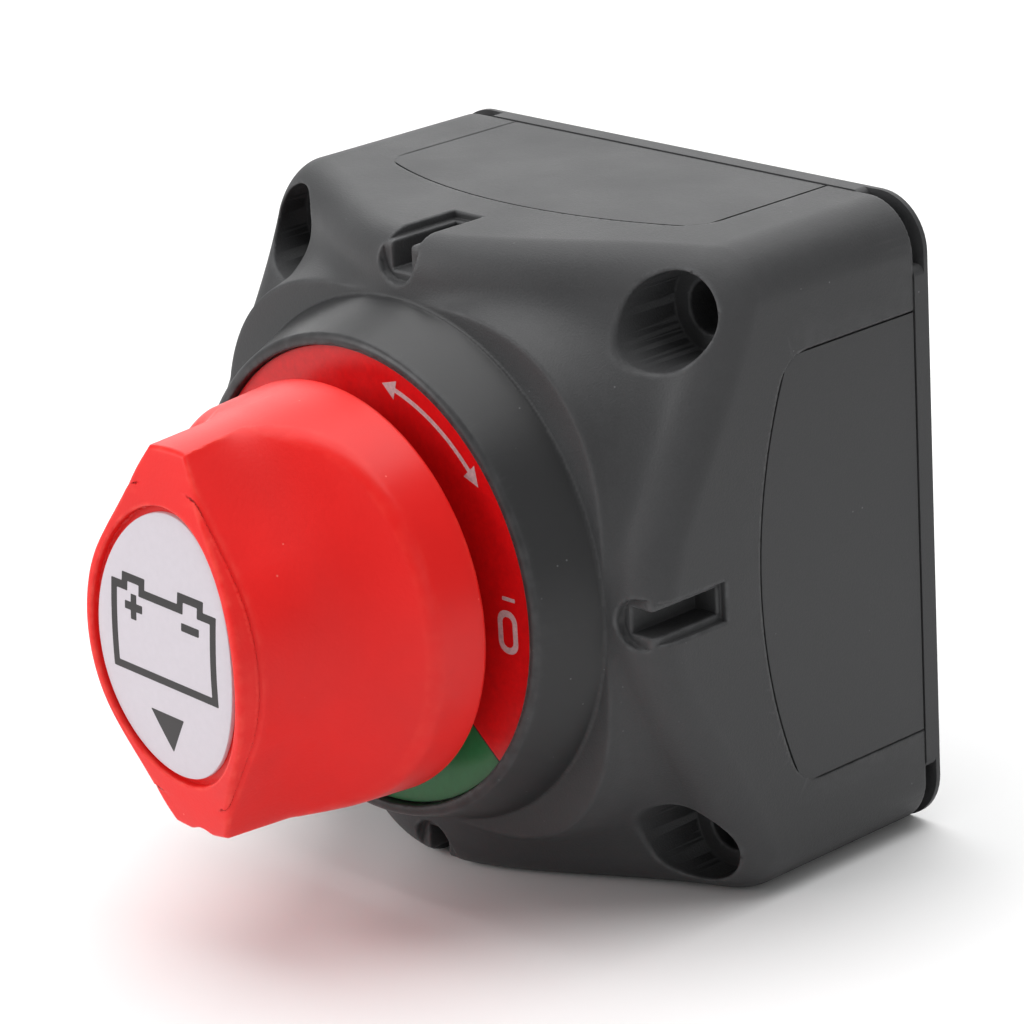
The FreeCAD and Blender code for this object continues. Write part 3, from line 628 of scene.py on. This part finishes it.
def knob_plastic():
    """Saturated red plastic: satin on the skirt, finely grained in the scoops."""
    colour = (0.78, 0.010, 0.008)
    material = new_material("knob_red", IOR=1.5, Specular_IOR_Level=0.3)
    material.node_tree.nodes["Principled BSDF"].inputs["Subsurface Weight"].default_value = 0.06
    material.node_tree.nodes["Principled BSDF"].inputs["Subsurface Radius"].default_value = (0.6, 0.12, 0.08)
    material.node_tree.nodes["Principled BSDF"].inputs["Subsurface Scale"].default_value = 1.2 * MM
    n = Nodes(material)
    grain = n.noise(2.6, 3, 0.6)
    cloud = n.noise(0.08, 3)
    scooped = n.attribute("grain")
    tone = n.mix(n.ramp(cloud, (0.3, 0.7), (0, 1)), scaled(colour, 0.94), scaled(colour, 1.06))
    worn = n.math("MULTIPLY", n.attribute("edge"), n.ramp(n.noise(0.6, 4), (0.4, 0.7), (0.05, 0.5)))
    tone = n.mix(worn, tone, (0.95, 0.10, 0.07))
    n.colour(n.mix(n.math("MULTIPLY", n.specks(0.3, 0.04), 0.5), tone, (0.95, 0.25, 0.2)))
    gloss = n.ramp(n.math("ADD", cloud, n.math("MULTIPLY", grain, 0.3)), (0.45, 0.85), (0.3, 0.4))
    n.roughness(n.math("ADD", gloss, n.math("MULTIPLY", scooped, 0.12)))
    height = n.math("MULTIPLY", grain, n.ramp(scooped, (0, 1), (0.12, 1)))
    n.bump(height, 0.03, under=n.bump(n.noise(0.1, 2), 0.05))
    return material


def printed_foil(name, colour, rough=0.32, speckle=0.12):
    """Printed plastic foil: ink with a slight mottle under a satin film."""
    material = new_material(name, IOR=1.5, Specular_IOR_Level=0.3)
    n = Nodes(material)
    mottle = n.noise(1.3, 4, 0.65)
    share = n.ramp(mottle, (0.3, 0.7), (0, 1))
    n.colour(n.mix(share, scaled(colour, 1 - speckle), scaled(colour, 1 + speckle / 2)))
    n.roughness(n.ramp(n.noise(0.25, 3), (0.3, 0.7), (rough - 0.04, rough + 0.06)))
    n.bump(mottle, 0.006, under=n.bump(n.noise(0.14, 2), 0.04))
    return material


def ink(name, colour):
    """Screen-printed ink with slightly uneven cover."""
    material = new_material(name, IOR=1.5, Specular_IOR_Level=0.3)
    n = Nodes(material)
    cover = n.noise(2.2, 4, 0.7)
    n.colour(n.mix(n.ramp(cover, (0.3, 0.75), (0, 1)), scaled(colour, 0.8), scaled(colour, 1.25)))
    n.roughness(n.ramp(cover, (0.3, 0.7), (0.35, 0.5)))
    n.bump(cover, 0.004)
    return material


def metal(name, colour, rough, grain=(1, 1, 12), wear=0.06):
    """Machined metal with fine directional marks and a little tarnish."""
    material = new_material(name, Metallic=1.0)
    n = Nodes(material)
    marks = n.noise(1.6, 4, 0.6, stretch=grain)
    cloud = n.noise(0.25, 4)
    n.colour(n.mix(n.ramp(cloud, (0.35, 0.7), (0, 1)), scaled(colour, 0.82), scaled(colour, 1.08)))
    n.roughness(n.ramp(n.math("ADD", marks, cloud), (0.6, 1.4), (rough - wear, rough + 2 * wear)))
    n.bump(marks, 0.01)
    return material


def rubber():
    material = new_material("rubber_black", IOR=1.5)
    n = Nodes(material)
    grain = n.noise(3, 3)
    n.colour(n.mix(grain, (0.010, 0.010, 0.010), (0.028, 0.028, 0.029)))
    n.roughness(n.ramp(grain, (0.3, 0.7), (0.6, 0.78)))
    n.bump(grain, 0.02)
    return material


CASE_GREY = (0.043, 0.0435, 0.045)
LOOKS = {
    "case_plastic": grained_plastic("case_grey", CASE_GREY, 0.5, 0.22, 0.03),
    "inner_plastic": grained_plastic("inner_black", (0.022, 0.022, 0.024), 0.46, 0.3, 0.02),
    "copper": metal("copper", (0.80, 0.36, 0.22), 0.3, (14, 1, 1)),
    "tinned": metal("tinned_brass", (0.72, 0.68, 0.60), 0.28),
    "silver": metal("silver_contact", (0.80, 0.79, 0.77), 0.42, (3, 1, 3)),
    "steel": metal("stainless_steel", (0.56, 0.56, 0.57), 0.26, (2, 2, 14)),
    "seal_rubber": rubber(),
}
CASE_MARKED = grained_plastic("case_grey_moulded", CASE_GREY, 0.5, 0.22, 0.045, marked=True)
DIAL_RED = printed_foil("dial_red", (0.74, 0.006, 0.008))
DIAL_GREEN = printed_foil("dial_green", (0.020, 0.165, 0.050))
DIAL_LINE = ink("dial_line", (0.03, 0.012, 0.012))
LABEL_WHITE = printed_foil("label_white", (0.60, 0.555, 0.60), 0.36, 0.025)
INK_WHITE = ink("ink_white", (0.62, 0.42, 0.43))
INK_DARK = ink("ink_dark", (0.030, 0.027, 0.028))


# ---- CAD pieces kept, with their edges rounded ----
def round_edges(name, width_mm, segments=2):
    """Rounds a CAD node's edges with modifiers; its own mesh stays as packed."""
    obj = frame["nodes"][name]
    weld = obj.modifiers.new("weld", "WELD")
    weld.merge_threshold = 0.002 * MM
    bevel = obj.modifiers.new("bevel", "BEVEL")
    bevel.width = width_mm * MM
    bevel.segments = segments
    bevel.limit_method = "ANGLE"
    bevel.angle_limit = math.radians(35)
    obj.modifiers.new("normals", "WEIGHTED_NORMAL")


def paint(obj, *materials):
    if obj.data.materials:
        obj.data.materials.clear()
    for material in materials:
        obj.data.materials.append(material)


def dress_nodes():
    for part in frame["record"]["subparts"]:
        look = LOOKS.get(part["material_slot"])
        if look is not None:
            paint(frame["nodes"][part["node"]], look)
    for name in frame["nodes"]:
        if name.startswith("side_panel"):
            round_edges(name, 0.12)
    round_edges("rear_cover", 0.15)
    for name in ("contact_base", "terminal_barrier", "contact_carrier", "rotor"):
        round_edges(name, 0.25)
    for name in ("terminal_washers", "terminal_spring_washers", "base_screws", "knob_screw", "bridge_bar"):
        round_edges(name, 0.15)
    for name in ("terminal_nuts", "terminal_stud_left", "terminal_stud_right"):
        round_edges(name, 0.3, 3)


# ---- pieces drawn here ----
def curvature(field, points, h=0.3):
    """How sharply the surface bends outwards at each point, times h."""
    total = -6 * field(*points.T)
    for axis in range(3):
        step = np.zeros(3)
        step[axis] = h
        total += field(*(points + step).T) + field(*(points - step).T)
    return np.clip(total / h, 0, 1)


def housing():
    obj = field_piece("housing_moulding", case_field, (-36, -50, -36), (36, 0, 36), *CASE_MESH)
    points = as_points(obj.data) / MM
    r = np.hypot(points[:, 0], points[:, 2])
    mark(obj, "edge", curvature(case_field, points))
    # mask of the polished collar wall: made smoother in the material, and painted darker there as painted
    # shade
    mark(obj, "polish_and_painted_shade", (r < COLLAR_FOOT_R + 0.4) & (points[:, 1] < SHOULDER_Y - 0.1))
    paint(obj, CASE_MARKED)
    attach(obj, "case")
    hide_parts("housing")


def knob():
    obj = field_piece("knob_moulding", knob_field, (-23, -77, -23), (23, -47, 23), *KNOB_MESH)
    points = as_points(obj.data) / MM
    x, z = turned_back(points[:, 0], points[:, 2], KNOB_REST_ANGLE)
    inset = -knob_skirt(x, points[:, 1], z)
    mark(obj, "grain", np.clip((inset - 0.2) / 0.8, 0, 1))
    mark(obj, "edge", curvature(knob_field, points))
    paint(obj, knob_plastic())
    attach(obj, "knob_rotor")
    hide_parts("knob")


def plates(name, outlines, y, thickness_mm):
    """Flat plates with these closed outlines of (x, z) points, standing out towards the front."""
    bm = bmesh.new()
    for outline in outlines:
        back = [bm.verts.new((x * MM, y * MM, z * MM)) for x, z in outline]
        front = [bm.verts.new((x * MM, (y - thickness_mm) * MM, z * MM)) for x, z in outline]
        bm.faces.new(front)
        bm.faces.new(back[::-1])
        for k in range(len(outline)):
            j = (k + 1) % len(outline)
            bm.faces.new((back[k], back[j], front[j], front[k]))
    bmesh.ops.recalc_face_normals(bm, faces=bm.faces)
    return from_bmesh(name, bm)


def from_bmesh(name, bm):
    mesh = bpy.data.meshes.new(name)
    bm.to_mesh(mesh)
    bm.free()
    obj = bpy.data.objects.new(name, mesh)
    bpy.context.scene.collection.objects.link(obj)
    return obj


def band(name, outer, inner, y, thickness_mm):
    """A closed flat band between two outlines with the same number of (x, z) points."""
    bm = bmesh.new()
    rows = []
    for outline, depth in ((outer, 0), (outer, thickness_mm), (inner, thickness_mm), (inner, 0)):
        rows.append([bm.verts.new((x * MM, (y - depth) * MM, z * MM)) for x, z in outline])
    for a, b in zip(rows, rows[1:] + rows[:1]):
        for k in range(len(outer)):
            j = (k + 1) % len(outer)
            bm.faces.new((a[k], a[j], b[j], b[k]))
    bmesh.ops.recalc_face_normals(bm, faces=bm.faces)
    return from_bmesh(name, bm)


def offset_outline(points, distance):
    """The closed outline moved sideways by distance, with mitred corners."""
    moved = []
    for k, (x, z) in enumerate(points):
        before = Vector(points[k - 1])
        here = Vector((x, z))
        after = Vector(points[(k + 1) % len(points)])
        a = (here - before).normalized()
        b = (after - here).normalized()
        across = Vector((-a.y, a.x)) + Vector((-b.y, b.x))
        moved.append(tuple(here + across * distance / (1 + a.dot(b))))
    return moved


def rounded_corners(points, radius, steps=4):
    """The closed outline with each corner replaced by a short arc."""
    out = []
    for k, point in enumerate(points):
        here = Vector(point)
        a = (Vector(points[k - 1]) - here).normalized()
        b = (Vector(points[(k + 1) % len(points)]) - here).normalized()
        for step in range(steps + 1):
            t = step / steps
            start = here + a * radius
            end = here + b * radius
            out.append(tuple(start * (1 - t) ** 2 + here * 2 * t * (1 - t) + end * t * t))
    return out


def oval_ring(grow, count=128):
    angles = (2 * math.pi * k / count for k in range(count))
    return [((LABEL_AXES[0] + grow) * math.cos(a), (LABEL_AXES[1] + grow) * math.sin(a)) for a in angles]


BOW_STEP = 0.8          # height of the strips that a flat piece is cut into before it's bent
BOW_CUTS = 18           # cuts above and below the middle


def bowed(obj):
    """Bends a flat piece of the label onto the bowed front and turns it to the label's angle."""
    bm = bmesh.new()
    bm.from_mesh(obj.data)
    for k in range(-BOW_CUTS, BOW_CUTS + 1):
        everything = bm.verts[:] + bm.edges[:] + bm.faces[:]
        bmesh.ops.bisect_plane(bm, geom=everything, plane_co=(0, 0, k * BOW_STEP * MM), plane_no=(0, 0, 1))
    for vert in bm.verts:
        vert.co.y += DOME_R * MM - math.sqrt((DOME_R * MM) ** 2 - vert.co.z ** 2)
    bm.to_mesh(obj.data)
    bm.free()
    obj.data.transform(Matrix.Rotation(math.radians(LABEL_ANGLE), 4, "Y"))


FOIL_EDGE = ((0, LABEL_THICK), (0, 0.08), (-0.03, 0.02), (-0.1, 0), (-1.5, 0))    # growth, depth


def label():
    """The oval foil, with its edge turned over, in the knob's recess."""
    bm = bmesh.new()
    rows = []
    for grow, depth in FOIL_EDGE:
        y = LABEL_FACE + depth
        rows.append([bm.verts.new((x * MM, y * MM, z * MM)) for x, z in oval_ring(grow)])
    for a, b in zip(rows, rows[1:]):
        for k in range(len(a)):
            j = (k + 1) % len(a)
            bm.faces.new((a[k], b[k], b[j], a[j]))
    bm.faces.new(rows[-1])
    bm.faces.new(rows[0][::-1])
    bmesh.ops.recalc_face_normals(bm, faces=bm.faces)
    obj = from_bmesh("label_foil", bm)
    bowed(obj)
    obj.data.shade_smooth()
    obj.data.set_sharp_from_angle(angle=math.radians(50))
    paint(obj, LABEL_WHITE)
    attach(obj, "knob_rotor")
    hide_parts("knob_label")


INK_THICK = 0.02
STROKE = 0.86
BATTERY = [(-7.55, -3.35), (7.45, -3.35), (7.45, 5.25), (5.5, 5.25), (5.5, 6.35), (2.5, 6.35), (2.5, 5.1),
           (-3.35, 5.1), (-3.35, 6.25), (-5.95, 6.25), (-5.95, 5.25), (-7.55, 5.25)]
POINTER = [(-2.9, -7.05), (2.1, -7.05), (-0.35, -11.3)]
SIGN_X = (-4.55, 4.05)
SIGN_Z = 3.35
SIGN_HALF = 1.32
SIGN_THICK = 0.42


def label_marks():
    """Battery outline with its plus and minus signs, and the pointer below it."""
    outer = rounded_corners(offset_outline(BATTERY, -STROKE / 2), 0.12)
    inner = rounded_corners(offset_outline(BATTERY, STROKE / 2), 0.12)
    pieces = [band("battery_outline", outer, inner, LABEL_FACE, INK_THICK)]
    pieces.append(plates("pointer_mark", [rounded_corners(POINTER, 0.15)], LABEL_FACE, INK_THICK))
    a, b = SIGN_HALF, SIGN_THICK
    x = SIGN_X[0]
    z = SIGN_Z
    plus = [(x - a, z - b), (x - b, z - b), (x - b, z - a), (x + b, z - a), (x + b, z - b), (x + a, z - b),
            (x + a, z + b), (x + b, z + b), (x + b, z + a), (x - b, z + a), (x - b, z + b), (x - a, z + b)]
    x = SIGN_X[1]
    minus = [(x - a, z - b), (x + a, z - b), (x + a, z + b), (x - a, z + b)]
    signs = [rounded_corners(plus, 0.1), rounded_corners(minus, 0.12)]
    pieces.append(plates("polarity_marks", signs, LABEL_FACE, INK_THICK))
    for obj in pieces:
        bowed(obj)
        paint(obj, INK_DARK)
        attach(obj, "knob_rotor")


DIAL_INNER_R = 10.5
DIAL_OUTER_R = DIAL_R - 0.1
DIAL_THICK = 0.3
SECTOR = (-139.0, -41.0)            # the green ON sector, in degrees from +X towards +Z
SECTOR_LINE = 0.45


def dial():
    """Printed ring: red, with a green sector between two thin dark lines."""
    start, end = SECTOR
    stops = [(start, 2), (start + SECTOR_LINE, 1), (end - SECTOR_LINE, 2), (end, 0), (start + 360, None)]
    profile = [(DIAL_INNER_R, 0), (DIAL_INNER_R, DIAL_THICK), (DIAL_OUTER_R - 0.08, DIAL_THICK),
               (DIAL_OUTER_R, DIAL_THICK - 0.08), (DIAL_OUTER_R, 0)]
    bm = bmesh.new()
    rows = []
    inks = []
    for (low, which), (high, _) in zip(stops, stops[1:]):
        count = max(1, round((high - low) / 1.5))
        for k in range(count):
            a = math.radians(low + (high - low) * k / count)
            c, s = math.cos(a), math.sin(a)
            ring = [(r * c * MM, (DIAL_SEAT - d) * MM, r * s * MM) for r, d in profile]
            rows.append([bm.verts.new(place) for place in ring])
            inks.append(which)
    for k, row in enumerate(rows):
        after = rows[(k + 1) % len(rows)]
        for i in range(len(profile)):
            j = (i + 1) % len(profile)
            face = bm.faces.new((row[i], row[j], after[j], after[i]))
            face.material_index = inks[k]
    bmesh.ops.recalc_face_normals(bm, faces=bm.faces)
    obj = from_bmesh("dial_ring", bm)
    obj.data.shade_smooth()
    obj.data.set_sharp_from_angle(angle=math.radians(30))
    paint(obj, DIAL_RED, DIAL_GREEN, DIAL_LINE)
    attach(obj, "case")
    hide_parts("dial_label")


def capsule(x, z, half_x, half_z, radius, steps=8):
    """Outline of a rounded block."""
    points = []
    for k, (cx, cz) in enumerate(((1, 1), (-1, 1), (-1, -1), (1, -1))):
        mid_x = x + cx * (half_x - radius)
        mid_z = z + cz * (half_z - radius)
        for step in range(steps + 1):
            a = math.radians(90 * k + 90 * step / steps)
            points.append((mid_x + radius * math.cos(a), mid_z + radius * math.sin(a)))
    return points


def arc_strip(r_in, r_out, start, end, steps=24):
    angles = [math.radians(start + (end - start) * k / steps) for k in range(steps + 1)]
    outer = [(r_out * math.cos(a), r_out * math.sin(a)) for a in angles]
    return outer + [(r_in * math.cos(a), r_in * math.sin(a)) for a in reversed(angles)]


# capsules: place in x and z, half width, half height, corner radius
ZERO_OUTER = (20.55, -1.4, 1.38, 2.3, 1.25)
ZERO_INNER = (20.55, -1.4, 0.72, 1.62, 0.66)
ON_BAR = (0, -22.0, 0.33, 1.7, 0.1)
OFF_TICK = (20.9, 2.15, 0.9, 0.2, 0.08)
ARROW_LINE = (21.6, 22.1)           # inner and outer radius
ARROW_HEAD = (20.8, 22.9, 21.85)    # inner corner, outer corner and tip, as radii
ARROW_ENDS = ((42, 37), (74, 79))   # base and tip of each head, in degrees from +X towards +Z


def dial_marks():
    """A zero for OFF, a bar for ON and a double arrow along the turn, in pale ink."""
    y = DIAL_SEAT - DIAL_THICK
    pieces = [band("zero_mark", capsule(*ZERO_OUTER), capsule(*ZERO_INNER), y, INK_THICK)]
    bars = [capsule(*ON_BAR), capsule(*OFF_TICK)]
    arrow = [arc_strip(*ARROW_LINE, ARROW_ENDS[0][0], ARROW_ENDS[1][0])]
    for base, tip in ARROW_ENDS:
        turns = [math.radians(a) for a in (base, base, tip)]
        arrow.append([(r * math.cos(a), r * math.sin(a)) for r, a in zip(ARROW_HEAD, turns)])
    pieces.append(plates("dial_bars", bars, y, INK_THICK))
    pieces.append(plates("turn_arrow", arrow, y, INK_THICK))
    for obj in pieces:
        paint(obj, INK_WHITE)
        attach(obj, "case")


# ---- studio ----
CAMERA = (47.096, 19.178, -3.278, 474.114)      # azimuth, elevation, roll in degrees; distance
AIM = (1.52, -30.0, 2.387)                      # right of, along and above the axis
FOCAL = 159.2
SHIFT = (0.0019, -0.0070)


def camera():
    azimuth, elevation, roll = (math.radians(v) for v in CAMERA[:3])
    level = math.cos(elevation)
    back = Vector((math.sin(azimuth) * level, -math.cos(azimuth) * level, math.sin(elevation)))
    right = (-back).cross(Vector((0, 0, 1))).normalized()
    up = right.cross(-back)
    across = right * math.cos(roll) + up * math.sin(roll)
    upright = up * math.cos(roll) - right * math.sin(roll)
    aim = Vector((0, AIM[1], 0)) + across * AIM[0] + upright * AIM[2]
    place = (aim + back * CAMERA[3]) * MM
    data = bpy.data.cameras.new("camera")
    data.lens = FOCAL
    data.sensor_width = 36
    data.shift_x, data.shift_y = SHIFT
    data.clip_start = 0.01
    obj = bpy.data.objects.new("camera", data)
    turn = Matrix((across, upright, back)).transposed().to_4x4()
    obj.matrix_world = Matrix.Translation(place) @ turn
    bpy.context.scene.collection.objects.link(obj)
    bpy.context.scene.camera = obj


# softboxes: name, place and size in metres, power in watts
SOFTBOXES = (
    ("overhead", (-0.05, 0.05, 0.60), (0.7, 0.7), 4.4),
    ("behind", (-0.60, 0.75, 0.42), (1.2, 0.6), 3.5),
    ("key_left", (-0.35, -0.55, 0.32), (0.35, 0.45), 2.4),
    ("fill_right", (0.65, -0.25, 0.12), (0.4, 0.5), 0.3),
)
LIGHTS_AIM = (0, -0.035, 0)
WORLD_STRENGTH = 0.35


def softbox(name, place, size, power):
    data = bpy.data.lights.new(name, "AREA")
    data.shape = "RECTANGLE"
    data.size, data.size_y = size
    data.energy = power
    obj = bpy.data.objects.new(name, data)
    obj.location = place
    obj.rotation_euler = (Vector(LIGHTS_AIM) - Vector(place)).to_track_quat("-Z", "Y").to_euler()
    bpy.context.scene.collection.objects.link(obj)


def floor():
    bm = bmesh.new()
    bmesh.ops.create_grid(bm, x_segments=8, y_segments=8, size=6)
    obj = from_bmesh("floor", bm)
    obj.location.z = cad_low.z
    material = new_material("floor_paper", Roughness=0.8)
    n = Nodes(material)
    n.colour(n.mix(n.noise(0.02, 3), (0.90, 0.90, 0.90), (0.92, 0.92, 0.92)))
    paint(obj, material)


def studio():
    scene = bpy.context.scene
    scene.view_settings.view_transform = "Standard"
    world = bpy.data.worlds.new("studio")
    world.use_nodes = True
    world.node_tree.nodes["Background"].inputs["Color"].default_value = (1, 1, 1, 1)
    world.node_tree.nodes["Background"].inputs["Strength"].default_value = WORLD_STRENGTH
    scene.world = world
    for box in SOFTBOXES:
        softbox(*box)
    floor()
    camera()


dress_nodes()
housing()
knob()
label()
label_marks()
dial()
dial_marks()
studio()

bpy.context.view_layer.update()
